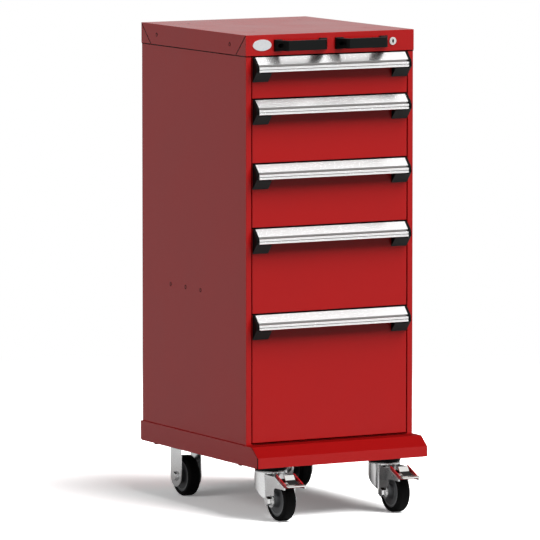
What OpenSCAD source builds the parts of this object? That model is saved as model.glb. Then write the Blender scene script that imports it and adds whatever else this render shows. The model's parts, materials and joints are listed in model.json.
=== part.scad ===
// Mobile drawer cabinet: a folded steel housing with five full-extension drawers, a central lock
// and two push handles, on a bumper base with two swivel casters and two fixed casters.
// Millimetres, +Z up, front towards -Y, standing on Z = 0.

/* [Housing] */
// Width across the outside of the side panels
body_w = 457; // [430:1:520]
// Depth from the front posts to the back panel
body_d = 533; // [500:1:600]
// Thickness of the panel sheet
sheet_t = 1.5; // [1.2:0.1:2]
// Width of each front post
post_w = 14; // [12:0.5:16]
// Depth of each front post's inner return
post_d = 40; // [34:1:46]
// Depth of each rear upright
upright_d = 40; // [30:1:50]
// Space behind the rear uprights
upright_gap = 15; // [10:1:20]

/* [Fitting holes] */
// Diameter of the small paired holes in the sides
pair_hole_d = 3; // [2:0.5:4]
// Height between the two holes of a pair
pair_hole_step = 7; // [5:0.5:9]
// Height of the side panels' pairs above the base
pair_hole_up = 351; // [300:1:400]
// Distance of the first side pair from the front
pair_hole_y = 231; // [180:1:260]
// Distance between side pairs
pair_hole_pitch = 77; // [60:1:90]

/* [Top cover] */
// Height of the cover's skirt
cap_h = 49.5; // [46:0.5:60]
// Thickness of the cover's sheet
cap_t = 1.2; // [1:0.1:1.5]
// Run of each mitre seam along the side
mitre_run = 49; // [40:1:55]
// Width of each mitre seam
mitre_w = 0.8; // [0.4:0.1:1]
// Spacing of the top bolt holes across the cabinet
top_hole_x = 307; // [250:1:340]
// Spacing of the top bolt holes along the cabinet
top_hole_y = 329; // [280:1:380]
// Diameter of the top bolt holes
top_hole_d = 7; // [5:0.5:9]
// Spacing of the skirt's hole pairs along the cabinet
skirt_hole_y = 374; // [340:1:400]
// Drop of the skirt's hole pairs below the top
skirt_hole_drop = 25.5; // [20:0.5:30]

/* [Drawers] */
// Face height of the top drawer
face_1_h = 98.5; // [96:0.5:140]
// Face height of the second drawer
face_2_h = 151; // [100:0.5:200]
// Face height of the third drawer
face_3_h = 151; // [100:0.5:200]
// Face height of the fourth drawer
face_4_h = 203; // [120:0.5:260]
// Face height of the bottom drawer
face_5_h = 307.5; // [150:0.5:360]
// Gap round each face
face_gap = 3; // [2:0.5:4]
// Depth of the folded face
face_d = 18; // [14:1:22]
// Width of the returns behind the face
face_return = 22; // [20:1:26]
// Thickness of the tray sheet
tray_t = 1.2; // [1:0.1:1.6]
// Height of the tray's floor above the lower edge of the face
tray_up = 8; // [6:1:12]
// Drop of the tray's rim below the upper edge of the face
tray_drop = 12; // [10:1:14]
// Thickness of the folded rim
rim_t = 3; // [2:0.5:4]
// Height of the folded rim
rim_h = 10; // [8:1:14]
// Space between the tray and the back of the cabinet
tray_back_gap = 43; // [40:1:60]

/* [Slides] */
// Height of the cabinet rail
slide_h = 34; // [30:1:36]
// Width of each slide member
slide_w = 12; // [10:0.5:14]
// Thickness of the slide members
slide_t = 1.5; // [1.2:0.1:1.8]
// How far each member stands inboard of the next
slide_step = 2; // [1.9:0.1:3]
// Running gap between members
slide_gap = 0.3; // [0.3:0.05:0.5]
// Height of the slide's middle above the lower edge of the face
slide_up = 38; // [34:1:39]

/* [Drawer pulls] */
// Reach of the pull in front of the face
pull_out = 23; // [20:0.5:28]
// Drop of the sloping upper face
pull_slope_h = 18; // [16:0.5:20]
// Radius of the two beads along the lip
bead_r = 3.4; // [3:0.1:3.8]
// Thickness of the pull's back flange
pull_t = 2; // [1.5:0.1:2.5]
// Thickness of each end cap
end_cap_t = 7; // [5:0.5:10]
// Length of the wedge under each end
wedge_len = 43; // [35:1:60]
// Height of the end caps with their wedges
end_cap_h = 60; // [52:0.5:70]

/* [Push handles] */
// Length over the feet
push_len = 141; // [120:1:150]
// Reach in front of the cover
push_out = 35; // [30:1:40]
// Height of the grip
push_h = 24; // [20:0.5:28]
// Extra height of each foot above and below the grip
push_foot_lap = 2; // [1:0.5:3]
// Gap between the right handle's end and the lock's flange
push_gap = 7.5; // [4:0.5:10]
// Drop of the handles and the lock below the top
push_drop = 26; // [22:0.5:28]
// Diameter of the screw pockets
pocket_d = 11; // [10:0.5:12]
// Diameter of the screws
push_screw_d = 5; // [4:0.5:6]

/* [Lock] */
// Distance of the lock from the right side
lock_inset = 58; // [54:0.5:62]
// Diameter of the lock's flange
lock_flange_d = 19; // [18:0.5:22]
// Diameter of the barrel
barrel_d = 16; // [15:0.5:17]
// Diameter of the turning core
core_d = 12.5; // [11.5:0.5:13]
// Radial clearance of every turning pin in its bore
pin_gap = 0.05; // [0.03:0.01:0.1]
// Lift of the lock bar over a quarter turn
bar_lift = 12; // [10:0.5:12]
// Thickness of the lock bar
bar_t = 3; // [2:0.5:4]
// Width of the lock bar
bar_w = 20; // [16:1:24]

/* [Base] */
// Height of the base
base_h = 48.4; // [40:0.2:60]
// Overhang of the base on each side
base_lap = 5; // [2:0.5:10]
// Overhang of the base at the back
base_back = 2; // [0:0.5:6]
// Reach of the base's flat ledge in front of the housing
ledge_out = 37; // [25:1:45]
// Reach of the bumper's face in front of the housing
nose_out = 66; // [56:1:80]
// Drop of the sloping bumper
nose_drop = 23; // [15:0.5:30]
// Thickness of the base sheet
base_t = 2.5; // [2:0.1:3]
// Width of each caster channel
channel_w = 106; // [104:1:116]
// Thickness of the caster channels
channel_t = 3; // [2.5:0.1:4]

/* [Casters] */
// Diameter of the wheels
wheel_d = 100; // [94:1:106]
// Width of the tyres
wheel_w = 32; // [28:1:34]
// Height of the base's lower edge above the top of the tyre
base_rise = 31.6; // [30:0.2:40]
// Height of the casters' mounting face above the base's lower edge
plate_lift = 8; // [6:0.5:12]
// Distance of the casters' middles from the sides of the housing
caster_inset = 72; // [70:1:80]
// Distance of the swivel axes behind the front posts
swivel_y = 10; // [4:1:14]
// Distance of the wheel's axle ahead of its swivel axis
trail = 53; // [48:1:57]
// Distance of the fixed casters' axles from the back of the housing
rear_inset = 91; // [85:1:110]
// Width of the mounting plates
plate_w = 114; // [110:1:118]
// Depth of the mounting plates
plate_d = 102; // [98:1:104]
// Thickness of the mounting plates
plate_t = 4; // [3:0.5:5]
// Bolt spacing across the plates
bolt_x = 92; // [88:1:94]
// Bolt spacing along the plates
bolt_y = 72; // [68:1:76]
// Diameter of the bolts
bolt_d = 8; // [6:1:10]
// Diameter of the swivel seals
seal_d = 79; // [78:1:82]
// Height of the swivel seals
seal_h = 16.6; // [15:0.2:18]
// Diameter of the swivel forks' crowns
crown_d = 78; // [76:1:80]
// Thickness of the fork sheet
fork_t = 3; // [2.5:0.1:3.5]
// Room between the tyre and the inside of the fork on each side
fork_room = 10; // [8:0.5:11]
// Radius of the swivel forks' axle ends
boss_r = 16; // [14:0.5:18]
// Width of the fixed forks' cheeks
rear_fork_w = 53; // [46:1:58]
// Diameter of the axles
axle_d = 10; // [8:0.5:12]
// Radius of the wheel hubs under the tyres
hub_r = 39; // [37:0.5:41]
// Reach of the brake pedal's tip ahead of the axle
pedal_out = 81; // [76:1:86]

/* [Hidden] */
$fn = 64;
DRAWERS = [1, 2, 3, 4, 5];
SIDES = ["left", "right"];
SIGNS = [-1, 1];
CORNERS = ["front_left", "front_right", "rear_left", "rear_right"];

red = "firebrick";
dark_red = "darkred";
bright = "gainsboro";
zinc = "silver";
black = [0.1, 0.1, 0.1];
grey = "dimgray";
eps = 1;

// Heights, from the floor up
axle_z = wheel_d / 2;
base_z = wheel_d + base_rise;
mount_z = base_z + plate_lift;
seat_z = base_z + base_h;
floor_z = seat_z + sheet_t;
faces_h = [face_1_h, face_2_h, face_3_h, face_4_h, face_5_h];
function face_h(i) = faces_h[i - 1];
function face_bottom(i) = floor_z + face_gap
    + (i < len(faces_h) ? face_bottom(i + 1) + face_h(i + 1) - floor_z : 0);
function face_top(i) = face_bottom(i) + face_h(i);
cap_z = face_top(1) + face_gap;
top_z = cap_z + cap_h;
under_cap_z = top_z - cap_t;
grip_z = top_z - push_drop;

// Places along the cabinet, from the front posts backwards
rear_y = body_d - rear_inset;
tip_y = swivel_y - trail - pedal_out;
back_y = body_d + base_back;
middle_y = (tip_y + back_y) / 2;
rail_y = face_d + 2;
rail_end_y = body_d - upright_gap - upright_d / 2;
tray_end_y = body_d - tray_back_gap;

// Places across the cabinet, from its middle outwards
half_w = body_w / 2;
post_x = half_w - post_w;
face_x = post_x - face_gap;
tray_x = post_x - slide_w - 2 * slide_step;
base_x = half_w + base_lap;
caster_x = half_w - caster_inset;
lock_x = half_w - lock_inset;
push_x = lock_x - lock_flange_d / 2 - push_gap - push_len / 2;
function tray_bottom(i) = face_bottom(i) + tray_up;
function tray_top(i) = face_top(i) - tray_drop;
function slide_z(i) = face_bottom(i) + slide_up;

// Moves a piece from the front-post frame to the part's own frame
module placed() {
    translate([0, -middle_y, 0]) children();
}

// Extrudes an outline drawn in Y and Z from x0 to x1
module across(x0, x1) {
    translate([x0, 0, 0]) rotate([90, 0, 90]) linear_extrude(x1 - x0) children();
}

// Cylinder along X or along Y, centred on its start
module pin_x(d, x0, x1) {
    translate([x0, 0, 0]) rotate([0, 90, 0]) cylinder(d = d, h = x1 - x0);
}
module pin_y(d, y0, y1) {
    translate([0, y0, 0]) rotate([-90, 0, 0]) cylinder(d = d, h = y1 - y0);
}

// Housing

module pair_of_holes(y, z) {
    for (s = SIGNS)
        translate([0, y, z + s * pair_hole_step / 2]) pin_x(pair_hole_d, half_w - 2 * sheet_t, half_w + cap_t + eps);
}

// Right-hand panel, folded round the front post
module side_panel() {
    difference() {
        union() {
            translate([half_w - sheet_t, 0, seat_z]) cube([sheet_t, body_d, under_cap_z - seat_z]);
            translate([post_x, 0, floor_z]) cube([post_w, sheet_t, under_cap_z - floor_z]);
            translate([post_x, 0, floor_z]) cube([sheet_t, post_d, under_cap_z - floor_z]);
        }
        for (i = [0 : 2])
            pair_of_holes(pair_hole_y + i * pair_hole_pitch, seat_z + pair_hole_up);
        for (s = SIGNS)
            pair_of_holes(body_d / 2 + s * skirt_hole_y / 2, top_z - skirt_hole_drop);
    }
}

module left_side_panel() {
    color(red) placed() mirror([1, 0, 0]) side_panel();
}

module right_side_panel() {
    color(red) placed() side_panel();
}

module back_panel() {
    w = body_w - 2 * sheet_t;
    color(red) placed()
        translate([-w / 2, body_d - sheet_t, seat_z]) cube([w, sheet_t, under_cap_z - seat_z]);
}

module bottom_panel() {
    w = body_w - 2 * sheet_t;
    color(red) placed() translate([-w / 2, 0, seat_z]) cube([w, body_d - sheet_t, sheet_t]);
}

// Seam from the top corner down to the skirt's lower edge, cut half through the sheet
module mitre_seam() {
    run = mitre_run + cap_t;
    translate([half_w + cap_t / 2, -cap_t, top_z]) rotate([-atan2(cap_h, run), 0, 0])
        translate([0, 0, -mitre_w / 2]) cube([cap_t, norm([run, cap_h]), mitre_w]);
}

module both_sides() {
    children();
    mirror([1, 0, 0]) children();
}

module both_ends() {
    children();
    translate([0, body_d, 0]) mirror([0, 1, 0]) children();
}

module top_cover() {
    color(red) placed() difference() {
        translate([-half_w - cap_t, -cap_t, cap_z]) cube([body_w + 2 * cap_t, body_d + 2 * cap_t, cap_h]);
        translate([-half_w, 0, cap_z - eps]) cube([body_w, body_d, cap_h - cap_t + eps]);
        both_sides() both_ends() mitre_seam();
        for (x = SIGNS, y = SIGNS)
            translate([x * top_hole_x / 2, body_d / 2 + y * top_hole_y / 2, under_cap_z - eps])
                cylinder(d = top_hole_d, h = cap_t + 2 * eps);
        both_sides() for (s = SIGNS)
            pair_of_holes(body_d / 2 + s * skirt_hole_y / 2, top_z - skirt_hole_drop);
        translate([lock_x, 0, grip_z]) pin_y(barrel_d + 2 * pin_gap, -cap_t - eps, eps);
        for (h = SIGNS, s = SIGNS)
            translate([h * push_x + s * push_screw_x, 0, grip_z])
                pin_y(push_screw_d + 2 * pin_gap, -cap_t - eps, eps);
    }
}

// Channel that stands behind the tray, open towards the side panel
module rear_upright() {
    w = post_w - sheet_t;
    h = cap_z - floor_z;
    translate([post_x, body_d - upright_gap - upright_d, floor_z]) difference() {
        cube([w, upright_d, h]);
        translate([sheet_t, sheet_t, -eps]) cube([w, upright_d - 2 * sheet_t, h + 2 * eps]);
    }
}

module rear_uprights() {
    color(zinc) placed() both_sides() rear_upright();
}

// Slides: three nested channels on each side of each drawer

// Channel along Y between x0 and x0 + slide_w, open inwards or outwards
module slide_channel(x0, h, y0, y1, open_inwards) {
    shift = open_inwards ? -slide_t : slide_t;
    translate([x0, y0, -h / 2]) difference() {
        cube([slide_w, y1 - y0, h]);
        translate([shift, -eps, slide_t]) cube([slide_w, y1 - y0 + 2 * eps, h - 2 * slide_t]);
    }
}

middle_h = slide_h - 2 * slide_t - 2 * slide_gap;
runner_h = middle_h - 2 * slide_t - 2 * slide_gap;

module slide_rails() {
    color(zinc) placed() for (i = DRAWERS)
        translate([0, 0, slide_z(i)]) both_sides()
            slide_channel(post_x - slide_w, slide_h, rail_y, rail_end_y, true);
}

module drawer_slides(i) {
    color(zinc) placed() translate([0, 0, slide_z(i)]) both_sides()
        slide_channel(post_x - slide_w - slide_step, middle_h, rail_y, rail_end_y, true);
}

// Drawers

// Face sheet with all four edges folded back and in again, so that the tray bolts to the returns
module drawer_front(i) {
    h = face_h(i);
    w = 2 * face_x;
    t = sheet_t;
    color(red) placed() translate([-face_x, 0, face_bottom(i)]) difference() {
        cube([w, face_d, h]);
        translate([t, t, t]) cube([w - 2 * t, face_d - 2 * t, h - 2 * t]);
        translate([face_return, t, face_return]) cube([w - 2 * face_return, face_d, h - 2 * face_return]);
    }
}

// Catch on the right side of the tray, above the slide, that the lock bar's hook blocks
catch_w = 8;
catch_h = bar_lift - 2;
catch_y = 70;
function catch_z(i) = tray_top(i) - catch_h - 2;

// Open box behind the face, with a runner on each side
module drawer_tray(i) {
    h = tray_top(i) - tray_bottom(i);
    depth = tray_end_y - face_d;
    wall = [2 * tray_t, 2 * tray_t];
    rim = [2 * rim_t, 2 * rim_t];
    size = [2 * tray_x, depth];
    color(dark_red) placed() {
        translate([-tray_x, face_d, tray_bottom(i)]) difference() {
            cube([size[0], size[1], h]);
            translate([tray_t, tray_t, tray_t]) cube(concat(size - wall, [h - rim_h - tray_t]));
            translate([rim_t, rim_t, h - rim_h - eps]) cube(concat(size - rim, [rim_h + 2 * eps]));
        }
        translate([0, 0, slide_z(i)]) both_sides()
            slide_channel(tray_x, runner_h, rail_y, tray_end_y, false);
        translate([tray_x, catch_y, catch_z(i)]) cube([catch_w, catch_w, catch_h]);
    }
}

// Pull: back flange, sloping upper face, lip with two beads, open below for the fingers
lip_top = pull_slope_h + 4.8;
lip_y = pull_out - bead_r;
lip_bottom = lip_top + 4 * bead_r - 0.4;
lip_back = lip_y - bead_r;
flange_h = 16;

module pull_outline() {
    groove = 3;
    toe = 2.5;
    polygon([
        [0, -0.5], [-toe, -0.5], [-lip_y + 0.4, -pull_slope_h],
        [-lip_y + 0.4 + groove, -pull_slope_h - 1], [-lip_y + 0.4 + groove, -lip_top + 0.5],
        [-lip_y, -lip_top], [-lip_y, -lip_bottom], [-lip_back, -lip_bottom],
        [-lip_back, -lip_top - 2], [-lip_back + groove, -lip_top + 1],
        [-pull_t, -6.5], [-pull_t, -flange_h], [0, -flange_h]]);
    translate([-lip_y, -lip_top - bead_r]) circle(r = bead_r);
    translate([-lip_y, -lip_bottom + bead_r]) circle(r = bead_r);
}

module drawer_pull(i) {
    x = face_x - end_cap_t;
    color(bright) placed() translate([0, 0, face_top(i)]) across(-x, x) pull_outline();
}

// End cap, a little proud of the pull, with a wedge that runs back to the face below it
cap_lap = 1;
wedge_top = lip_bottom + 1.8;

module end_cap() {
    nose = pull_out + cap_lap;
    across(face_x - end_cap_t, face_x)
        polygon([
            [0, 0], [-3, 0], [-lip_y - 0.8, -pull_slope_h + 0.3], [-nose, -lip_top - 1.8],
            [-nose, -lip_bottom + 1.7], [-lip_y - 1.1, -wedge_top], [0, -end_cap_h]]);
    across(face_x - wedge_len, face_x - end_cap_t)
        polygon([[0, -wedge_top], [-lip_y - 1.1, -wedge_top], [0, -end_cap_h]]);
}

module drawer_end_caps(i) {
    color(black) placed() translate([0, 0, face_top(i)]) both_sides() end_cap();
}

// Push handles

push_foot_w = 19.5;
push_leg_out = 7;
push_screw_x = push_len / 2 - 9.5;
pocket_floor = 4;

module push_handle() {
    end = push_len / 2;
    inner = end - push_foot_w;
    grip_t = 10;
    difference() {
        union() {
            translate([0, 0, -push_h / 2]) linear_extrude(push_h)
                polygon([
                    [-end, 0], [-end, -push_leg_out], [-end + 15.5, -push_out + 3],
                    [-end + 21.5, -push_out], [end - 21.5, -push_out],
                    [end - 15.5, -push_out + 3], [end, -push_leg_out], [end, 0], [inner, 0],
                    [inner - 8, -push_out + grip_t], [8 - inner, -push_out + grip_t], [-inner, 0]]);
            for (s = SIGNS)
                translate([s > 0 ? inner : -end, -push_leg_out, -push_h / 2 - push_foot_lap])
                    cube([push_foot_w, push_leg_out, push_h + 2 * push_foot_lap]);
        }
        for (s = SIGNS)
            translate([s * push_screw_x, 0, 0]) {
                pin_y(pocket_d, -push_out, -pocket_floor);
                pin_y(push_screw_d + 2 * pin_gap, -push_out, eps);
            }
    }
}

module push_handle_left() {
    color(black) placed() translate([-push_x, -cap_t, grip_z]) push_handle();
}

module push_handle_right() {
    color(black) placed() translate([push_x, -cap_t, grip_z]) push_handle();
}

module push_screw() {
    head_h = 3.5;
    difference() {
        union() {
            pin_y(pocket_d - 1.5, -pocket_floor - head_h, -pocket_floor);
            pin_y(push_screw_d, -pocket_floor - head_h, cap_t + 8);
        }
        for (a = [0, 90])
            rotate([0, a, 0]) translate([-2.5, -pocket_floor - head_h - eps, -0.6]) cube([5, eps + 1.5, 1.2]);
    }
}

module push_handle_screws() {
    color(zinc) placed() for (h = SIGNS, s = SIGNS)
        translate([h * push_x + s * push_screw_x, -cap_t, grip_z]) push_screw();
}

// Lock

lock_proud = 3;
barrel_end = 22;
cam_t = 3;
cam_r = 4;
cam_len = 14;
flat_gap = 0.3;

module at_lock() {
    translate([lock_x, 0, grip_z]) children();
}

module lock_barrel() {
    color(bright) placed() at_lock() difference() {
        union() {
            pin_y(lock_flange_d, -cap_t - lock_proud, -cap_t);
            pin_y(barrel_d, -cap_t - lock_proud, barrel_end);
            rotate([-90, 0, 0]) cylinder(d = barrel_d + 8, h = 6, $fn = 6);
        }
        pin_y(core_d + 2 * pin_gap, -cap_t - lock_proud - eps, barrel_end + eps);
    }
}

// Core with a key slot in front, and at the back the cam that hangs down when unlocked
module lock_core() {
    front = -cap_t - lock_proud;
    key_w = 3;
    key_h = 9;
    cam_y = barrel_end + flat_gap;
    color(zinc) placed() at_lock() {
        difference() {
            pin_y(core_d, front, cam_y);
            translate([-key_w / 2, front - eps, -key_h / 2]) cube([key_w, 10 + eps, key_h]);
        }
        translate([0, cam_y, 0]) {
            pin_y(core_d, 0, cam_t);
            translate([-cam_r, 0, -cam_len]) cube([2 * cam_r, cam_t, cam_len]);
            translate([0, 0, -cam_len]) pin_y(2 * cam_r, 0, cam_t);
        }
    }
}

// Upright bar behind the right-hand rails, with a lift plate over the cam and a hook per drawer
bar_y = 52;
bar_x = post_x + flat_gap;
hook_d = 8;
lift_z = grip_z + cam_r + flat_gap - bar_lift;

module lock_bar() {
    lift_x = lock_x + 10;
    lift_y = barrel_end + 0.5;
    low_z = catch_z(5) - bar_lift - 12;
    color(zinc) placed() {
        translate([bar_x, bar_y, low_z]) cube([bar_t, bar_w, lift_z + bar_t - low_z]);
        translate([lift_x, lift_y, lift_z])
            cube([post_x - flat_gap - lift_x, bar_y + hook_d - lift_y, bar_t]);
        translate([lift_x, bar_y, lift_z]) cube([bar_x + bar_t - lift_x, hook_d, bar_t]);
        for (i = DRAWERS)
            translate([tray_x + 2.4, catch_y - hook_d - 4, catch_z(i) - bar_lift - 2])
                cube([bar_x + bar_t - tray_x - 2.4, hook_d, bar_lift]);
    }
}

// Base

// Side view of the base, set in by t from the outside; the outside has its lower back corner cut off
heel = 4;

function nose_outline(t) =
    let (a = atan2(nose_drop, nose_out - ledge_out),
         drop = t > 0 ? -eps : 0)
    concat(
        t > 0 ? [[back_y - t, base_z - eps]] : [[back_y - heel, base_z], [back_y, base_z + heel]],
        [[back_y - t, seat_z - t],
         [-ledge_out + t * tan(a / 2), seat_z - t],
         [-nose_out + t, seat_z - nose_drop - t * tan((90 - a) / 2)],
         [-nose_out + t, base_z + drop]]);

module base_frame() {
    color(red) placed() difference() {
        across(-base_x, base_x) polygon(nose_outline(0));
        across(-base_x + base_t, base_x - base_t) polygon(nose_outline(base_t));
    }
}

// Where the casters bolt on: front pair, then rear pair
module at_casters(ys) {
    for (y = ys, s = SIGNS)
        translate([s * caster_x, y, 0]) children();
}

module at_bolts() {
    for (x = SIGNS, y = SIGNS)
        translate([x * bolt_x / 2, y * bolt_y / 2, 0]) children();
}

// Channel across the base, open upwards, trimmed to the inside of the bumper
module caster_channel() {
    w = 2 * (base_x - base_t);
    h = seat_z - base_t - mount_z;
    translate([-w / 2, -channel_w / 2, mount_z]) difference() {
        cube([w, channel_w, h]);
        translate([-eps, channel_t, channel_t]) cube([w + 2 * eps, channel_w - 2 * channel_t, h]);
    }
}

module caster_channels() {
    color(zinc) placed() difference() {
        intersection() {
            for (y = [swivel_y, rear_y])
                translate([0, y, 0]) caster_channel();
            across(-base_x, base_x) polygon(nose_outline(base_t));
        }
        at_casters([swivel_y, rear_y]) at_bolts() translate([0, 0, mount_z - eps])
            cylinder(d = bolt_d + 2 * pin_gap, h = channel_t + 2 * eps);
    }
}

// Hex bolt up through the plate and the channel, with its nut
module caster_bolts() {
    head_h = 5;
    nut_h = 6;
    color(zinc) placed() at_casters([swivel_y, rear_y]) at_bolts() {
        translate([0, 0, mount_z - plate_t - head_h]) cylinder(d = 1.7 * bolt_d, h = head_h, $fn = 6);
        translate([0, 0, mount_z - plate_t - head_h])
            cylinder(d = bolt_d, h = head_h + plate_t + channel_t + nut_h + 2);
        translate([0, 0, mount_z + channel_t]) cylinder(d = 1.7 * bolt_d, h = nut_h, $fn = 6);
    }
}

// Casters, drawn round their own swivel or mounting axis

kingpin_d = 12;
crown_z = mount_z - plate_t - seal_h - flat_gap;
fork_in = wheel_w / 2 + fork_room;
fork_out = fork_in + fork_t;

module mounting_plate() {
    difference() {
        translate([-plate_w / 2, -plate_d / 2, mount_z - plate_t]) cube([plate_w, plate_d, plate_t]);
        at_bolts() translate([0, 0, mount_z - plate_t - eps])
            cylinder(d = bolt_d + 2 * pin_gap, h = plate_t + 2 * eps);
    }
}

// Plate with the king pin that the fork's crown turns on
module front_caster_plates() {
    head_h = 4;
    head_z = crown_z - fork_t - flat_gap - head_h;
    color(zinc) placed() at_casters([swivel_y]) {
        mounting_plate();
        translate([0, 0, head_z]) cylinder(d = kingpin_d, h = mount_z - plate_t - head_z);
        translate([0, 0, head_z]) cylinder(d = 2 * kingpin_d, h = head_h);
    }
}

module swivel_seals() {
    color(black) placed() at_casters([swivel_y]) translate([0, 0, mount_z - plate_t - seal_h])
        difference() {
            cylinder(d = seal_d, h = seal_h);
            translate([0, 0, -eps]) cylinder(d = 3 * kingpin_d, h = seal_h + 2 * eps);
        }
}

// Lower edge of the swivel fork: a straight line from the back of the crown to the axle end,
// which it meets as a tangent
skirt_back_h = 18.7;
edge_start = [crown_d / 2, crown_z - skirt_back_h];
edge_to_axle = [-trail, axle_z] - edge_start;
edge_len = sqrt(edge_to_axle * edge_to_axle - boss_r * boss_r);
edge_a = atan2(edge_to_axle[1], edge_to_axle[0]) + asin(boss_r / norm(edge_to_axle));
edge_end = edge_start + edge_len * [cos(edge_a), sin(edge_a)];
function edge_z(y) = edge_start[1] + (y - edge_start[0]) * tan(edge_a);

// Ears of the fork that hold the brake, and the line of their sloping front edge
ear_top = crown_z - 9.2;
ear_tip = crown_z - 30.7;
ear_low = crown_z - 35.7;
ear_y = -trail - 67;
lip_h = 7;
pivot_y = -trail - 37;
pivot_z = crown_z - 23.7;
pivot_d = 6;

module crown_outline() {
    fillet = 5;
    r = crown_d / 2;
    square([r - fillet, crown_z]);
    square([r, crown_z - fillet]);
    translate([r - fillet, crown_z - fillet]) circle(r = fillet);
}

// Pressed fork: a round crown whose skirt runs down to two flat cheeks
module swivel_fork() {
    r = crown_d / 2;
    chin = 5;
    brow = r - 9;
    below = edge_end + [0.15, -0.15];
    difference() {
        union() {
            difference() {
                rotate_extrude() crown_outline();
                across(-r, r) polygon([
                    [-r - eps, -eps], [-brow, -eps], [-brow, crown_z - lip_h], [-r - eps, crown_z - lip_h]]);
            }
            across(-fork_out, fork_out) polygon([
                [-10, edge_z(-10) - 4], below, [-trail, axle_z], [-trail - boss_r, axle_z],
                [-trail - boss_r, ear_low - chin], [-trail - boss_r - chin, ear_low],
                [ear_y, ear_low], [ear_y, ear_tip], [-trail - 18, ear_top], [-10, ear_top]]);
            translate([0, -trail, axle_z]) pin_x(2 * boss_r + 0.8, -fork_out, fork_out);
        }
        across(-r - eps, r + eps) polygon([
            [r + 10, edge_z(r + 10)], [-trail - 40, edge_z(-trail - 40)],
            [-trail - 40, edge_z(-trail - 40) - 60], [r + 10, -60]]);
        translate([0, 0, -eps]) cylinder(r = r - fork_t, h = crown_z - fork_t + eps);
        translate([-fork_in, ear_y - eps, -eps]) cube([2 * fork_in, -ear_y + eps, ear_top + 1 + eps]);
        translate([0, 0, -eps]) cylinder(d = kingpin_d + 2 * pin_gap, h = crown_z + 2 * eps);
        translate([0, -trail, axle_z]) pin_x(axle_d + 2 * pin_gap, -fork_out - eps, fork_out + eps);
        translate([0, pivot_y, pivot_z]) pin_x(pivot_d + 2 * pin_gap, -fork_out - eps, fork_out + eps);
    }
}

// Axle bolt with a hex head and a nut, a hair clear of the cheeks
module axle(head_gap) {
    head_h = 6;
    d = 1.8 * axle_d;
    tip = fork_out + head_gap;
    pin_x(axle_d, -tip - eps, tip + eps);
    for (s = SIGNS)
        translate([s > 0 ? tip : -tip - head_h, 0, 0]) rotate([0, 90, 0]) cylinder(d = d, h = head_h, $fn = 6);
}

module caster_fork(s) {
    color(zinc) placed() translate([s * caster_x, swivel_y, 0]) {
        swivel_fork();
        translate([0, -trail, axle_z]) axle(pin_gap);
    }
}

// Brake pedal: a bent plate with an upright tab and a wide tread, on a pivot pin through the ears
tread_y = ear_y;
tread_z = crown_z - 27.2;

module brake_pedal(s) {
    tab_w = 26;
    tread_w = 2 * fork_in - 4;
    back = -trail - 35;
    top = crown_z - 5.2;
    tip = -trail - pedal_out;
    t = 3.3;
    color(bright) placed() translate([s * caster_x, swivel_y, 0]) {
        across(-tab_w / 2, tab_w / 2)
            polygon([
                [back, top], [back - 3, top + 1], [back - 10.5, top - 10.5], [back - 19, top - 14],
                [tread_y, tread_z + t], [tread_y, tread_z], [back - 18, top - 17.2], [back - 8, top - 13.1]]);
        across(-tread_w / 2, tread_w / 2)
            polygon([
                [tread_y, tread_z + t], [tip + 1, tread_z + 1.9], [tip, tread_z], [tip + 2, tread_z - 1.5],
                [tread_y, tread_z]]);
        translate([0, pivot_y, pivot_z]) pin_x(pivot_d, -fork_out, fork_out);
    }
}

// Brake lever: two cheeks beside the pedal, joined by a bridge under it
module brake_lever(s) {
    cheek_t = 3;
    outer = fork_in - 1;
    inner = outer - cheek_t;
    back = -trail - 19;
    rise = 6;
    low = ear_low + 2;
    bridge_y = tread_y + 14;
    color(dark_red) placed() translate([s * caster_x, swivel_y, 0]) difference() {
        union() {
            for (x = SIGNS)
                across(x > 0 ? inner : -outer, x > 0 ? outer : -inner)
                    polygon([
                        [back, ear_top + rise - 0.5], [tread_y, ear_tip + rise], [tread_y, low + 2],
                        [tread_y + 20, low], [pivot_y - 4, low + 3], [back, ear_top - 6]]);
            across(-outer, outer)
                polygon([[bridge_y, low + 2], [tread_y, low + 2], [tread_y, low + 5], [bridge_y, low + 5]]);
        }
        translate([0, pivot_y, pivot_z]) pin_x(pivot_d + 2 * pin_gap, -outer - eps, outer + eps);
    }
}

// Fixed fork: mounting plate with two flat cheeks, round at the axle
module rear_caster_forks() {
    h = mount_z - plate_t - axle_z;
    color(zinc) placed() at_casters([rear_y]) {
        mounting_plate();
        for (s = SIGNS)
            translate([s > 0 ? fork_in : -fork_out, 0, axle_z]) difference() {
                union() {
                    translate([0, -rear_fork_w / 2, 0]) cube([fork_t, rear_fork_w, h]);
                    pin_x(rear_fork_w, 0, fork_t);
                }
                pin_x(axle_d + 2 * pin_gap, -eps, fork_t + eps);
            }
    }
}

module rear_caster_axles() {
    color(zinc) placed() at_casters([rear_y]) translate([0, 0, axle_z]) axle(0);
}

// Wheels

function wheel_x(c) = (c % 2 == 0 ? -1 : 1) * caster_x;
function wheel_y(c) = c < 2 ? swivel_y - trail : rear_y;

module at_wheel(c) {
    translate([wheel_x(c), wheel_y(c), axle_z]) rotate([0, 90, 0]) children();
}

module tyre(c) {
    shoulder = 8;
    r = wheel_d / 2;
    w = wheel_w / 2;
    inner = hub_r + 0.1;
    color(black) placed() at_wheel(c) rotate_extrude() intersection() {
        union() {
            translate([inner, -w]) square([r - shoulder - inner, wheel_w]);
            translate([inner, -w + shoulder]) square([r - inner, wheel_w - 2 * shoulder]);
            for (s = SIGNS)
                translate([r - shoulder, s * (w - shoulder)]) circle(r = shoulder);
        }
        translate([inner, -w]) square([r - inner, wheel_w]);
    }
}

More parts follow.
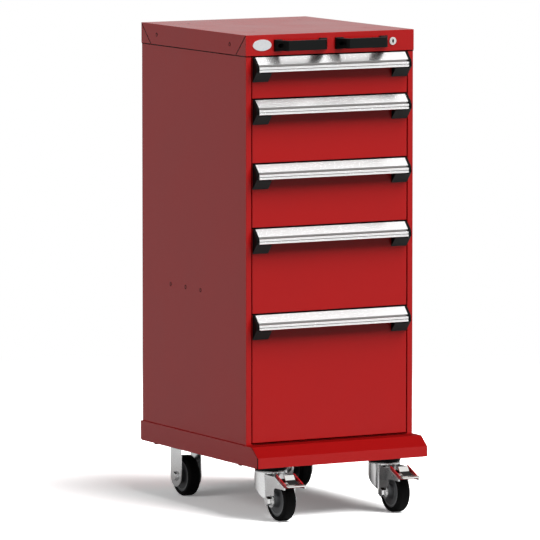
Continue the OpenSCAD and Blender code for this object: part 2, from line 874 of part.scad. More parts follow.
// Hub: rim under the tyre, dished web, and a boss that runs on the axle between the cheeks
module hub(c) {
    bore_r = axle_d / 2 + pin_gap;
    rim = [hub_r - 5, wheel_w / 2 - 2];
    web = [axle_d / 2 + 11, wheel_w / 4];
    boss = fork_in - 0.5;
    color(grey) placed() at_wheel(c) rotate_extrude() {
        translate([rim[0], -rim[1]]) square([hub_r - rim[0], 2 * rim[1]]);
        translate([bore_r, -web[1]]) square([hub_r - bore_r, 2 * web[1]]);
        translate([bore_r, -boss]) square([web[0] - bore_r, 2 * boss]);
    }
}

left_side_panel();
right_side_panel();
back_panel();
bottom_panel();
top_cover();
rear_uprights();
slide_rails();
base_frame();
caster_channels();
caster_bolts();
push_handle_left();
push_handle_right();
push_handle_screws();
lock_barrel();
lock_core();
lock_bar();
front_caster_plates();
swivel_seals();
rear_caster_forks();
rear_caster_axles();
for (i = DRAWERS) {
    drawer_front(i);
    drawer_tray(i);
    drawer_pull(i);
    drawer_end_caps(i);
    drawer_slides(i);
}
for (k = [0 : len(SIDES) - 1]) {
    caster_fork(SIGNS[k]);
    brake_pedal(SIGNS[k]);
    brake_lever(SIGNS[k]);
}
for (c = [0 : len(CORNERS) - 1]) {
    tyre(c);
    hub(c);
}
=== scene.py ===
import json
import math

import bmesh
import bpy
from mathutils import Matrix, Vector

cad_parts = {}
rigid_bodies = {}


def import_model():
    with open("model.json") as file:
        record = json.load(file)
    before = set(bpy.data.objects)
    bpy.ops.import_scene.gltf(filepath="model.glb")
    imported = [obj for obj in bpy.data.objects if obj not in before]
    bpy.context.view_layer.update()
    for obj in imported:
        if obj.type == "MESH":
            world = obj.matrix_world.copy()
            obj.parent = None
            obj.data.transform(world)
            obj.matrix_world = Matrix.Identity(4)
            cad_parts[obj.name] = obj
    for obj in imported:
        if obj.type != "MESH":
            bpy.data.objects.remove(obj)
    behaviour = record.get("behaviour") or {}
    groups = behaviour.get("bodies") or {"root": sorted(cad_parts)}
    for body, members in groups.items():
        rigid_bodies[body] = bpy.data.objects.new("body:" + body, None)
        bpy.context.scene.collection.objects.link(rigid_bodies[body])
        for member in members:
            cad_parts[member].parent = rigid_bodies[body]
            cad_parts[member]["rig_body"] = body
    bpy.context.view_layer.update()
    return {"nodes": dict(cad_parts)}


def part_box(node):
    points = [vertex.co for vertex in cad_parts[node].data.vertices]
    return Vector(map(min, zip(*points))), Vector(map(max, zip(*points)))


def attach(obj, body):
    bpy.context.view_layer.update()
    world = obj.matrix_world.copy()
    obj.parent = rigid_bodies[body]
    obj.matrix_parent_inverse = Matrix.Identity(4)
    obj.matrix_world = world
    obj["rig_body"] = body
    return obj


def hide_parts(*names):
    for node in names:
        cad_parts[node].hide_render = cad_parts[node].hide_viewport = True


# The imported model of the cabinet: every piece below is dressed on its nodes and rides on its bodies.
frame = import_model()
nodes = frame["nodes"]


# Camera: a long lens from the front left, a little above the cabinet's top. Its place and angle
# come from the housing's corners and seams, with the image taken as 540 by 540.
azimuth = math.radians(-28.689)
elevation = math.radians(6.125)
towards_camera = Vector((
    math.sin(azimuth) * math.cos(elevation),
    -math.cos(azimuth) * math.cos(elevation),
    math.sin(elevation)))
lens = bpy.data.cameras.new("long_lens")
lens.lens = 416.29
lens.sensor_width = 36
lens.clip_end = 200
camera = bpy.data.objects.new("camera", lens)
camera.location = (-7.26505, -13.18228, 2.18559)
camera.rotation_euler = towards_camera.to_track_quat("Z", "Y").to_euler()
bpy.context.collection.objects.link(camera)
bpy.context.scene.camera = camera
bpy.context.scene.view_settings.view_transform = "Standard"


# Studio: a seamless white sweep under a pale sky, with broad softboxes. The main one stands high at
# the front right, so it lights the drawers from above and leaves the left side in shade.
fill_level = 0.14
sweep_r = 60
shadow_reach = 1.2
sweep_white_from = 3.0


def linear(hex_code):
    """An sRGB hex colour as linear RGBA."""
    parts = [int(hex_code[i:i + 2], 16) / 255 for i in (1, 3, 5)]
    return [c / 12.92 if c <= 0.04045 else ((c + 0.055) / 1.055) ** 2.4 for c in parts] + [1]


def add(tree, kind, links=(), values=(), **settings):
    """Adds a shader node. Settings name its properties or its sockets, values set sockets by
    number, and links join the sockets of other nodes to it."""
    node = tree.nodes.new("ShaderNode" + kind)
    for key, value in settings.items():
        if hasattr(node, key):
            setattr(node, key, value)
        else:
            node.inputs[key.replace("_", " ")].default_value = value
    for number, value in dict(values).items():
        node.inputs[number].default_value = value
    for key, socket in dict(links).items():
        tree.links.new(socket, node.inputs[key])
    return node


def ways_of_sight(tree):
    """Sockets that are 1 for the camera's own rays, for rays off metal or through glass that the
    camera sees, and for either. Light on its way to a matt surface gives 0 in all three."""
    path = add(tree, "LightPath")
    by_camera = path.outputs["Is Camera Ray"]
    bounced = add(tree, "Math", {0: path.outputs["Is Glossy Ray"], 1: path.outputs["Is Transmission Ray"]},
                  operation="MAXIMUM")
    no_matt = add(tree, "Math", {0: path.outputs["Diffuse Depth"]}, {1: 0.5}, operation="LESS_THAN")
    mirrored = add(tree, "Math", {0: bounced.outputs[0], 1: no_matt.outputs[0]}, operation="MULTIPLY")
    either = add(tree, "Math", {0: mirrored.outputs[0], 1: by_camera}, operation="MAXIMUM")
    return by_camera, mirrored.outputs[0], either.outputs[0]


def new_material(name):
    """An empty material and its node tree."""
    material = bpy.data.materials.new(name)
    material.use_nodes = True
    material.node_tree.nodes.clear()
    return material, material.node_tree


sky = bpy.data.worlds.new("white_studio")
sky.use_nodes = True
tree = sky.node_tree
tree.nodes.clear()
in_sight = ways_of_sight(tree)[2]
heading = add(tree, "TexCoord")
height = add(tree, "SeparateXYZ", {"Vector": heading.outputs["Generated"]})
dome = add(tree, "MapRange", {"Value": height.outputs["Z"]}, interpolation_type="SMOOTHSTEP",
           From_Min=0.05, From_Max=0.75, To_Min=0.5, To_Max=1)
fill = add(tree, "Background", Color=linear("#FFFFFF"), Strength=fill_level)
backdrop = add(tree, "Background", {"Strength": dome.outputs[0]}, Color=linear("#FFFFFF"))
air = add(tree, "MixShader", {"Fac": in_sight, 1: fill.outputs[0], 2: backdrop.outputs[0]})
add(tree, "OutputWorld", {"Surface": air.outputs[0]})
bpy.context.scene.world = sky

# White paper: matt, and white to the camera and in mirrors; only the shadow near the cabinet shows.
# For the light that it sends back to the cabinet it is a dark grey, so that the drawers aren't lit
# from below.
paper, tree = new_material("white_paper_sweep")
by_camera, mirrored, in_sight = ways_of_sight(tree)
matt = add(tree, "BsdfDiffuse", Color=linear("#636363"))
in_mirror = add(tree, "BsdfDiffuse", Color=linear("#DCDCDC"))
bright = add(tree, "BsdfDiffuse", Color=(1.5, 1.5, 1.5, 1))
glow = add(tree, "Emission", Color=linear("#FFFFFF"), Strength=fill_level)
lit = add(tree, "AddShader", {0: bright.outputs[0], 1: glow.outputs[0]})
white = add(tree, "Emission", Color=linear("#FFFFFF"), Strength=1)
unseen = add(tree, "MixShader", {"Fac": mirrored, 1: matt.outputs[0], 2: in_mirror.outputs[0]})
near = add(tree, "MixShader", {"Fac": by_camera, 1: unseen.outputs[0], 2: lit.outputs[0]})
far = add(tree, "MixShader", {"Fac": in_sight, 1: matt.outputs[0], 2: white.outputs[0]})
place = add(tree, "TexCoord")
distance = add(tree, "VectorMath", {0: place.outputs["Object"]}, operation="LENGTH")
fade = add(tree, "MapRange", {"Value": distance.outputs["Value"]}, interpolation_type="SMOOTHSTEP",
           From_Min=shadow_reach, From_Max=sweep_white_from)
floor_shade = add(tree, "MixShader", {"Fac": fade.outputs[0], 1: near.outputs[0], 2: far.outputs[0]})
add(tree, "OutputMaterial", {"Surface": floor_shade.outputs[0]})

sweep_bm = bmesh.new()
bmesh.ops.create_circle(sweep_bm, cap_ends=True, segments=96, radius=sweep_r)
sweep_mesh = bpy.data.meshes.new("sweep")
sweep_bm.to_mesh(sweep_mesh)
sweep_bm.free()
sweep_mesh.materials.append(paper)
sweep = bpy.data.objects.new("sweep", sweep_mesh)
bpy.context.collection.objects.link(sweep)

# Each softbox stands 16 m from the cabinet's middle, so that its light doesn't fade down the drawers.
softbox_far = 16
softbox_aim = Vector((0, 0, 0.6))


def softbox(name, heading, size, watts):
    """A square soft light that faces the cabinet and isn't seen in its bright metal."""
    heading = Vector(heading)
    lamp = bpy.data.lights.new(name, "AREA")
    lamp.size = size
    lamp.energy = watts
    stand = bpy.data.objects.new(name, lamp)
    stand.location = softbox_aim + heading.normalized() * softbox_far
    stand.rotation_euler = heading.to_track_quat("Z", "Y").to_euler()
    stand.visible_glossy = False
    bpy.context.collection.objects.link(stand)
    return stand


def flag(stand, piece, state):
    """Keeps a softbox to a piece with INCLUDE, or off it with EXCLUDE."""
    lit = stand.light_linking.receiver_collection
    if lit is None:
        lit = stand.light_linking.receiver_collection = bpy.data.collections.new(stand.name + "_lights")
    lit.objects.link(piece)
    lit.collection_objects[len(lit.collection_objects) - 1].light_linking.link_state = state


front_softbox = softbox("front_softbox", (0.28, -0.455, 0.845), 11, 4650)
softbox("left_softbox", (-0.85, -0.15, 0.50), 8, 640)
back_softbox = softbox("back_softbox", (0.25, 0.97, 0.03), 6, 1300)
flag(back_softbox, sweep, "EXCLUDE")


# Housing: side panels of 1.5 mm steel, each folded round its front post, with a back and a bottom
# welded between them. The whole shell is powder coated red after welding.
weld_gap = 0.00001
flat_within = math.radians(0.5)
sharp_from = math.radians(25)
plane_slack = 0.0002


def finish_piece(bm, name, materials, carrier, replaced=(), smooth=35):
    """Turns a bmesh into a piece that rides with a CAD node, and stands for those it replaces."""
    mesh = bpy.data.meshes.new(name)
    bm.to_mesh(mesh)
    bm.free()
    for material in materials:
        mesh.materials.append(material)
    mesh.shade_smooth()
    mesh.set_sharp_from_angle(angle=math.radians(smooth))
    piece = bpy.data.objects.new(name, mesh)
    bpy.context.collection.objects.link(piece)
    flat_faces = piece.modifiers.new("flat_faces", "WEIGHTED_NORMAL")
    flat_faces.keep_sharp = True
    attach(piece, nodes[carrier]["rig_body"])
    if replaced:
        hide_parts(*replaced)
    return piece


def dress(node, material, rounds=(), accents=(), smooth=35):
    """Copies a CAD node, joins its triangles into faces and rounds its sharp edges.
    Each round is a test that picks edges and a radius in millimetres, and each accent is a test
    that picks faces and the material that they take."""
    bm = bmesh.new()
    bm.from_mesh(nodes[node].data)
    bmesh.ops.remove_doubles(bm, verts=bm.verts, dist=weld_gap)
    bmesh.ops.dissolve_limit(bm, angle_limit=flat_within, verts=bm.verts, edges=bm.edges)
    for wanted, radius in rounds:
        sharp = [e for e in bm.edges if e.is_manifold and e.calc_face_angle() > sharp_from and wanted(e)]
        bmesh.ops.bevel(bm, geom=sharp, offset=radius * 0.001, offset_type="OFFSET", affect="EDGES",
                        segments=3, profile=0.5, material=-1, clamp_overlap=True)
    for number, (wanted, _) in enumerate(accents, 1):
        for face in filter(wanted, bm.faces):
            face.material_index = number
    materials = [material] + [accent for _, accent in accents]
    return finish_piece(bm, node + "_finished", materials, node, [node], smooth=smooth)


def is_any(edge):
    """Picks every edge."""
    return True


def longer_than(length):
    """A test for edges longer than a length in metres."""
    return lambda edge: edge.calc_length() > length


def runs_along(axis):
    """A test for edges that run along X, Y or Z."""
    return lambda edge: abs((edge.verts[1].co - edge.verts[0].co).normalized()[axis]) > 0.99


def near_plane(axis, value):
    """A test for edges that lie in a plane across X, Y or Z."""
    return lambda edge: all(abs(v.co[axis] - value) < plane_slack for v in edge.verts)


# Red polyester powder coat: semi-gloss, a faint orange peel from the cured powder (about 2 mm
# waves, drawn at 3 mm so that it shows) and a barely uneven gloss in patches of 120 mm.
# The colours of a Mix node are its sockets 6 and 7, and the mixed colour leaves by socket 2.
colour_a, colour_b, mixed = 6, 7, 2
powder_coat, tree = new_material("red_powder_coat")
place = add(tree, "TexCoord")
peel = add(tree, "TexNoise", {"Vector": place.outputs["Object"]}, Scale=1 / 0.003, Detail=2)
cloud = add(tree, "TexNoise", {"Vector": place.outputs["Object"]}, Scale=1 / 0.12, Detail=3)
gloss = add(tree, "MapRange", {"Value": cloud.outputs["Fac"]},
            From_Min=0.3, From_Max=0.7, To_Min=0.15, To_Max=0.20)
tint = add(tree, "Mix", {"Factor": cloud.outputs["Fac"]},
           {colour_a: linear("#B01A1B"), colour_b: linear("#B61D1D")}, data_type="RGBA")
bump = add(tree, "Bump", {"Height": peel.outputs["Fac"]}, Strength=0.12, Distance=0.0002)
shade = add(tree, "BsdfPrincipled", {
    "Base Color": tint.outputs[mixed], "Roughness": gloss.outputs[0], "Normal": bump.outputs[0]},
    IOR=1.45, Specular_IOR_Level=0.16)
add(tree, "OutputMaterial", {"Surface": shade.outputs[0]})

for side, outer in (("left", 0), ("right", 1)):
    node = side + "_side_panel"
    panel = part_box(node)
    at_skin = near_plane(0, panel[outer].x)
    at_front = near_plane(1, panel[0].y)
    dress(node, powder_coat, [(lambda e: at_skin(e) and at_front(e), 0.8), (longer_than(0.02), 0.3)])
dress("back_panel", powder_coat, [(is_any, 0.3)])
dress("bottom_panel", powder_coat, [(is_any, 0.3)])

# Blind rivets hold the back to the flanges of the sides. They are painted over with the shell.
rivet_r = 0.0035
rivet_cap_r = 0.00245
rivet_h = 0.0011
rivet_in = 0.014
rivet_first = 0.06
rivet_pitch = 0.135
dimple_rim = 0.00112
dimple_deep = 0.0004
back_low, back_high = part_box("back_panel")
backwards = Matrix.Rotation(-math.pi / 2, 4, "X")


def stud(bm, spot, turn, foot_r, cap_r, proud, segments):
    """Sets a stud on a surface and gives back its cap. Turn takes Z to the outward normal."""
    known = set(bm.faces)
    seat = Matrix.Translation(spot) @ turn @ Matrix.Translation((0, 0, proud / 2))
    bmesh.ops.create_cone(bm, cap_ends=True, segments=segments, radius1=foot_r, radius2=cap_r,
                          depth=proud, matrix=seat)
    outwards = turn @ Vector((0, 0, 1))
    fresh = [f for f in bm.faces if f not in known]
    return max(fresh, key=lambda f: f.calc_center_median().dot(outwards))


bm = bmesh.new()
for side in (-1, 1):
    for i in range(7):
        spot = (side * (back_high.x - rivet_in), back_high.y, back_low.z + rivet_first + i * rivet_pitch)
        cap = stud(bm, spot, backwards, rivet_r, rivet_cap_r, rivet_h, 20)
        bmesh.ops.inset_region(bm, faces=[cap], thickness=dimple_rim, depth=-dimple_deep)
finish_piece(bm, "back_rivets", [powder_coat], "back_panel")


# Top cover: one sheet with its skirts folded down and mitred at the corners, pressed over the
# housing. The folds have a radius of about 1.6 mm.
cover_low, cover_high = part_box("top_cover")


def is_cover_fold(edge):
    """Whether an edge is a fold of the cover, round its top or down a corner."""
    at_side = near_plane(0, cover_low.x)(edge) or near_plane(0, cover_high.x)(edge)
    at_end = near_plane(1, cover_low.y)(edge) or near_plane(1, cover_high.y)(edge)
    corner = runs_along(2)(edge) and at_side and at_end
    return longer_than(0.03)(edge) and (near_plane(2, cover_high.z)(edge) or corner)


cover = dress("top_cover", powder_coat, [(is_cover_fold, 1.6)])

# The front softbox is too strong for the flat top, so the cover has a weaker one that stands a little
# lower, and another near the floor that brightens the fascia.
cover_softbox = softbox("cover_softbox", (0.30, -0.53, 0.79), 12, 2340)
fascia_softbox = softbox("fascia_softbox", (0.20, -0.97, 0.13), 8, 1000)
flag(front_softbox, cover, "EXCLUDE")
flag(cover_softbox, cover, "INCLUDE")
flag(fascia_softbox, cover, "INCLUDE")


# Painted shade of the cover's edges: a black strip under the skirt all round the housing stands for
# its shadow, and a black strip in each mitred corner for the shade in the seam. Both are matt and stand
# only a little proud.
panel_low, panel_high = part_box("right_side_panel")
post_x, side_x, front_y, back_y = panel_low.x, panel_high.x, panel_low.y, panel_high.y
shade_line_h = 0.0022
shade_line_out = 0.0006
shade_line_z = cover_low.z - shade_line_h / 2
mitre_run = 0.0502
mitre_w = 0.0024
mitre_out = 0.00012
mitre_start, mitre_end = 0.03, 0.985

# Painted shade: a dull brownish black, with a fine unevenness of about 2 mm in its sheen, used below
# wherever black stands for shade.
shade_black, tree = new_material("painted_shade_black")
place = add(tree, "TexCoord")
grain = add(tree, "TexNoise", {"Vector": place.outputs["Object"]}, Scale=1 / 0.002, Detail=2)
dull = add(tree, "MapRange", {"Value": grain.outputs["Fac"]},
           From_Min=0.3, From_Max=0.7, To_Min=0.65, To_Max=0.8)
shade = add(tree, "BsdfPrincipled", {"Roughness": dull.outputs[0]},
            Base_Color=linear("#0A0505"), IOR=1.5, Specular_IOR_Level=0.03)
add(tree, "OutputMaterial", {"Surface": shade.outputs[0]})


def strip(bm, start, end, normal, width, proud):
    """Lays a thin bar on a surface between two points."""
    start, end, normal = Vector(start), Vector(end), Vector(normal)
    along = (end - start).normalized()
    turn = Matrix((along, normal.cross(along), normal)).transposed().to_4x4()
    middle = Matrix.Translation((start + end) / 2 + normal * proud / 2)
    size = Matrix.Diagonal(((end - start).length, width, proud, 1))
    bmesh.ops.create_cube(bm, size=1, matrix=middle @ turn @ size)


bm = bmesh.new()
for side in (-1, 1):
    corner_x = side * (side_x + shade_line_out)
    strip(bm, (side * side_x, front_y - shade_line_out, shade_line_z), (side * side_x, back_y, shade_line_z),
          (side, 0, 0), shade_line_h, shade_line_out)
    strip(bm, (side * post_x, front_y, shade_line_z), (corner_x, front_y, shade_line_z),
          (0, -1, 0), shade_line_h, shade_line_out)
strip(bm, (-side_x, back_y, shade_line_z), (side_x, back_y, shade_line_z), (0, 1, 0), shade_line_h, shade_line_out)
finish_piece(bm, "skirt_shadow_strip", [shade_black], "top_cover")

bm = bmesh.new()
for side in (-1, 1):
    for end_y, inwards in ((cover_low.y, 1), (cover_high.y, -1)):
        top = Vector((side * cover_high.x, end_y, cover_high.z))
        foot = Vector((side * cover_high.x, end_y + inwards * mitre_run, cover_low.z))
        strip(bm, top.lerp(foot, mitre_start), top.lerp(foot, mitre_end), (side, 0, 0), mitre_w, mitre_out)
finish_piece(bm, "mitre_shade_strip", [shade_black], "top_cover")


# Hole plugs: thin steel buttons over the fitting holes of the sides and the skirt, each with a black
# rim round a cap in the cabinet's own red, the rim being painted shade of the gap round the button,
# and black plugs in the four holes of the top, painted shade of the open holes.
plug_r = 0.0047
plug_out = 0.00025
rim_w = 0.0019
side_hole_first = 0.231
side_hole_pitch = 0.077
side_hole_z = 0.531
skirt_hole_half = 0.187
skirt_hole_z = 1.1345
skirt_middle = (front_y + back_y) / 2
top_hole_x = 0.1535
top_hole_half = 0.1645
top_plug_r = 0.00345
top_plug_cap_r = 0.00325
top_plug_h = 0.0010
top_plug_sunk = 0.00005


def button(bm, spot, turn):
    """Sets one button on a sheet, with its rim and its painted cap."""
    cap = stud(bm, spot, turn, plug_r, plug_r - plug_out, plug_out, 32)
    bmesh.ops.inset_region(bm, faces=[cap], thickness=rim_w)
    cap.material_index = 1


bm = bmesh.new()
for side in (-1, 1):
    sideways = Matrix.Rotation(side * math.pi / 2, 4, "Y")
    for i in range(3):
        button(bm, (side * side_x, front_y + side_hole_first + i * side_hole_pitch, side_hole_z), sideways)
    for hole_y in (skirt_middle - skirt_hole_half, skirt_middle + skirt_hole_half):
        button(bm, (side * cover_high.x, hole_y, skirt_hole_z), sideways)
    for hole_y in (skirt_middle - top_hole_half, skirt_middle + top_hole_half):
        spot = (side * top_hole_x, hole_y, cover_high.z - top_plug_sunk - top_plug_h)
        stud(bm, spot, Matrix.Identity(4), top_plug_r, top_plug_cap_r, top_plug_h, 24)
finish_piece(bm, "hole_plugs", [shade_black, powder_coat], "top_cover")


# Name plate: a blank oval of pale enamelled steel at the left end of the fascia, with a raised rim.
# The enamel is smooth and bright, with a faint unevenness of gloss in patches of 8 mm.
plate_size = (0.050, 0.027)
plate_middle = (-0.1857, cover_low.y, 1.1354)
plate_proud = 0.0012
plate_round = 0.0004
plate_rim = 0.0018
plate_sunk = 0.0003
enamel, tree = new_material("pale_vitreous_enamel")
place = add(tree, "TexCoord")
cloud = add(tree, "TexNoise", {"Vector": place.outputs["Object"]}, Scale=1 / 0.008, Detail=2)
gloss = add(tree, "MapRange", {"Value": cloud.outputs["Fac"]},
            From_Min=0.3, From_Max=0.7, To_Min=0.25, To_Max=0.35)
tint = add(tree, "Mix", {"Factor": cloud.outputs["Fac"]},
           {colour_a: linear("#D2D3D6"), colour_b: linear("#DCDDDF")}, data_type="RGBA")
shade = add(tree, "BsdfPrincipled", {"Base Color": tint.outputs[mixed], "Roughness": gloss.outputs[0]},
            IOR=1.5)
add(tree, "OutputMaterial", {"Surface": shade.outputs[0]})

bm = bmesh.new()
upright = Matrix.Translation(plate_middle) @ Matrix.Rotation(math.pi / 2, 4, "X")
bmesh.ops.create_circle(bm, cap_ends=True, segments=64, radius=0.5,
                        matrix=upright @ Matrix.Diagonal((*plate_size, 1, 1)))
raised = bmesh.ops.extrude_face_region(bm, geom=bm.faces[:])["geom"]
raised_verts = [v for v in raised if isinstance(v, bmesh.types.BMVert)]
raised_face = [f for f in raised if isinstance(f, bmesh.types.BMFace)][0]
bmesh.ops.translate(bm, verts=raised_verts, vec=(0, -plate_proud, 0))
bmesh.ops.bevel(bm, geom=raised_face.edges[:], offset=plate_round, offset_type="OFFSET", affect="EDGES",
                segments=2, profile=0.5, material=-1)
bmesh.ops.recalc_face_normals(bm, faces=bm.faces)
front = min(bm.faces, key=lambda f: (round(f.calc_center_median().y, 5), -f.calc_area()))
bmesh.ops.inset_region(bm, faces=[front], thickness=plate_rim, depth=-plate_sunk)
finish_piece(bm, "name_plate", [enamel], "top_cover")


# Rear uprights, rails and slide members: rolled steel channels with bright zinc plate. Zinc plate is
# a pale blue-grey metal with a soft shine, slightly cloudy in patches of 30 mm.
zinc, tree = new_material("bright_zinc_plate")
place = add(tree, "TexCoord")
cloud = add(tree, "TexNoise", {"Vector": place.outputs["Object"]}, Scale=1 / 0.03, Detail=3)
dull = add(tree, "MapRange", {"Value": cloud.outputs["Fac"]},
           From_Min=0.3, From_Max=0.7, To_Min=0.13, To_Max=0.18)
tint = add(tree, "Mix", {"Factor": cloud.outputs["Fac"]},
           {colour_a: linear("#DADBDC"), colour_b: linear("#E3E3E2")}, data_type="RGBA")
shade = add(tree, "BsdfPrincipled", {"Base Color": tint.outputs[mixed], "Roughness": dull.outputs[0]},
            Metallic=0.82)
add(tree, "OutputMaterial", {"Surface": shade.outputs[0]})

for node in ("rear_uprights", "slide_rails"):
    dress(node, zinc, [(is_any, 0.35)])
for i in range(1, 6):
    dress(f"drawer_{i}_slides", zinc, [(is_any, 0.35)])


# Drawers: a folded steel face with a tray of the same sheet welded behind it, both coated with the
# housing's red powder. The folds round the front edges of the face to 1 mm.
for i in range(1, 6):
    node = f"drawer_{i}_front"
    dress(node, powder_coat, [(near_plane(1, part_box(node)[0].y), 1.0)])
    dress(f"drawer_{i}_tray", powder_coat, [(longer_than(0.02), 0.35)])


# Gap shade strips: a black strip along the upper edge of each drawer, a hair proud of its face, that
# closes most of the gap above the drawer: painted shade of the gap.
shade_strip_w = 0.005
shade_strip_h = 0.003
shade_strip_sunk = 0.0004
shade_strip_proud = 0.0003
shade_strip_in = 0.001
for i in range(1, 6):
    node = f"drawer_{i}_front"
    face_low, face_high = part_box(node)
    shade_strip_y = face_low.y + shade_strip_w / 2 - shade_strip_proud
    shade_strip_z = face_high.z - shade_strip_sunk
    bm = bmesh.new()
    strip(bm, (face_low.x + shade_strip_in, shade_strip_y, shade_strip_z), (face_high.x - shade_strip_in, shade_strip_y, shade_strip_z),
          (0, 0, 1), shade_strip_w, shade_strip_h)
    finish_piece(bm, f"drawer_{i}_gap_shade_strip", [shade_black], node)

# The sill has a black strip too, along the front edge of the bottom, where the lowest drawer closes:
# painted shade of the gap under it.
sill_h = 0.0014
sill_out = 0.0002
sill_low, sill_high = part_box("bottom_panel")
sill_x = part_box("drawer_5_front")[1].x
sill_z = (sill_low.z + sill_high.z) / 2
bm = bmesh.new()
strip(bm, (-sill_x, front_y, sill_z), (sill_x, front_y, sill_z), (0, -1, 0), sill_h, sill_out)
finish_piece(bm, "sill_shade_strip", [shade_black], "bottom_panel")


# Drawer pulls: one extruded aluminium section along each face, brushed along its length and clear
# anodised, so it mirrors the studio softly and streaks run from end to end. The streaks are drawn
# about 1 mm wide and 250 mm long, coarser than the brush leaves them, so that they show.
streaks_per_metre = (4, 900, 900)
anodised, tree = new_material("brushed_anodised_aluminium")
place = add(tree, "TexCoord")
along = add(tree, "Mapping", {"Vector": place.outputs["Object"]}, Scale=streaks_per_metre)
streak = add(tree, "TexNoise", {"Vector": along.outputs[0]}, Scale=1, Detail=3)
sheen = add(tree, "MapRange", {"Value": streak.outputs["Fac"]},
            From_Min=0.3, From_Max=0.7, To_Min=0.25, To_Max=0.27)
bump = add(tree, "Bump", {"Height": streak.outputs["Fac"]}, Strength=0.006, Distance=0.0001)
shade = add(tree, "BsdfPrincipled", {"Roughness": sheen.outputs[0], "Normal": bump.outputs[0]},
            Base_Color=linear("#F6F6F6"), Metallic=0.85)
add(tree, "OutputMaterial", {"Surface": shade.outputs[0]})

# The groove above the lip and the crease between its beads take a duller, darker grey: painted
# shade in the groove and the crease.
groove_shade, tree = new_material("groove_shade_aluminium")
place = add(tree, "TexCoord")
along = add(tree, "Mapping", {"Vector": place.outputs["Object"]}, Scale=streaks_per_metre)
streak = add(tree, "TexNoise", {"Vector": along.outputs[0]}, Scale=1, Detail=3)
sheen = add(tree, "MapRange", {"Value": streak.outputs["Fac"]},
            From_Min=0.3, From_Max=0.7, To_Min=0.4, To_Max=0.5)
shade = add(tree, "BsdfPrincipled", {"Roughness": sheen.outputs[0]},
            Base_Color=linear("#AAA7A6"), Metallic=1)
add(tree, "OutputMaterial", {"Surface": shade.outputs[0]})

# Both lie at a drop below the top of the drawer's face and a depth behind the front of the pull.
groove_top, groove_foot = 0.0178, 0.0229
groove_near, groove_far = 0.0042, 0.0075
crease_drop = 0.0294
crease_half = 0.0008
crease_depth = 0.0035


def groove_of(i):
    """A test for the faces in the groove or in the crease of one drawer's pull."""
    pull_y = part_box(f"drawer_{i}_pull")[0].y
    face_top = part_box(f"drawer_{i}_front")[1].z

    def in_groove(face):
        middle = face.calc_center_median()
        drop = face_top - middle.z
        depth = middle.y - pull_y
        crease = abs(drop - crease_drop) < crease_half and depth < crease_depth
        return crease or (groove_top < drop < groove_foot and groove_near < depth < groove_far)

    return in_groove


for i in range(1, 6):
    dress(f"drawer_{i}_pull", anodised, [(runs_along(0), 0.3)], [(groove_of(i), groove_shade)], smooth=40)


# Black moulded fittings: end caps of the pulls, push handles and swivel seals. Glass-filled nylon
# from a spark-eroded mould: a matt black with a fine even grain, drawn at 0.8 mm so that it shows.
nylon, tree = new_material("black_moulded_nylon")
place = add(tree, "TexCoord")
grain = add(tree, "TexNoise", {"Vector": place.outputs["Object"]}, Scale=1 / 0.0008, Detail=2)
flow = add(tree, "TexNoise", {"Vector": place.outputs["Object"]}, Scale=1 / 0.02, Detail=2)
dull = add(tree, "MapRange", {"Value": flow.outputs["Fac"]},
           From_Min=0.3, From_Max=0.7, To_Min=0.42, To_Max=0.52)
tint = add(tree, "Mix", {"Factor": grain.outputs["Fac"]},
           {colour_a: linear("#181919"), colour_b: linear("#1D1E1E")}, data_type="RGBA")
bump = add(tree, "Bump", {"Height": grain.outputs["Fac"]}, Strength=0.2, Distance=0.0001)
shade = add(tree, "BsdfPrincipled", {
    "Base Color": tint.outputs[mixed], "Roughness": dull.outputs[0], "Normal": bump.outputs[0]},
    IOR=1.5, Specular_IOR_Level=0.06)
add(tree, "OutputMaterial", {"Surface": shade.outputs[0]})

# The end caps, the handles' ends and the screws are a smoother, deeper black: the depth of black is
# painted shade of their shaded sides, ends and pockets.
shaded_black_nylon, tree = new_material("black_nylon_painted_shade")
place = add(tree, "TexCoord")
flow = add(tree, "TexNoise", {"Vector": place.outputs["Object"]}, Scale=1 / 0.02, Detail=2)
dull = add(tree, "MapRange", {"Value": flow.outputs["Fac"]},
           From_Min=0.3, From_Max=0.7, To_Min=0.35, To_Max=0.42)
shade = add(tree, "BsdfPrincipled", {"Roughness": dull.outputs[0]},
            Base_Color=linear("#0B0B0B"), IOR=1.5, Specular_IOR_Level=0.06)
add(tree, "OutputMaterial", {"Surface": shade.outputs[0]})

# The slope under each cap is a greyer nylon with a fine grain: painted light, for the light that
# the floor throws up onto it.
underside_light_grey, tree = new_material("grey_nylon_painted_light")
place = add(tree, "TexCoord")
grain = add(tree, "TexNoise", {"Vector": place.outputs["Object"]}, Scale=1 / 0.0008, Detail=2)
tint = add(tree, "Mix", {"Factor": grain.outputs["Fac"]},
           {colour_a: linear("#343838"), colour_b: linear("#3A3E3E")}, data_type="RGBA")
bump = add(tree, "Bump", {"Height": grain.outputs["Fac"]}, Strength=0.2, Distance=0.0001)
shade = add(tree, "BsdfPrincipled", {"Base Color": tint.outputs[mixed], "Normal": bump.outputs[0]},
            Roughness=0.55, IOR=1.5, Specular_IOR_Level=0.1)
add(tree, "OutputMaterial", {"Surface": shade.outputs[0]})


def is_finger_side(face):
    """Whether a face is the slope under an end cap, which faces down and to the front."""
    return face.normal.y < -0.4 and face.normal.z < -0.4


def is_handle_end(face):
    """Whether a face is on an end of a handle or of a pocket in it."""
    return abs(face.normal.x) > 0.35


for i in range(1, 6):
    dress(f"drawer_{i}_end_caps", shaded_black_nylon, [(is_any, 0.8)], [(is_finger_side, underside_light_grey)])
# The ends of each handle and of its pockets take the painted-shade black.
for side in ("left", "right"):
    dress(f"push_handle_{side}", nylon, [(longer_than(0.004), 1.2)], [(is_handle_end, shaded_black_nylon)],
          smooth=50)
dress("swivel_seals", nylon, [(is_any, 1.0)])
dress("push_handle_screws", shaded_black_nylon)


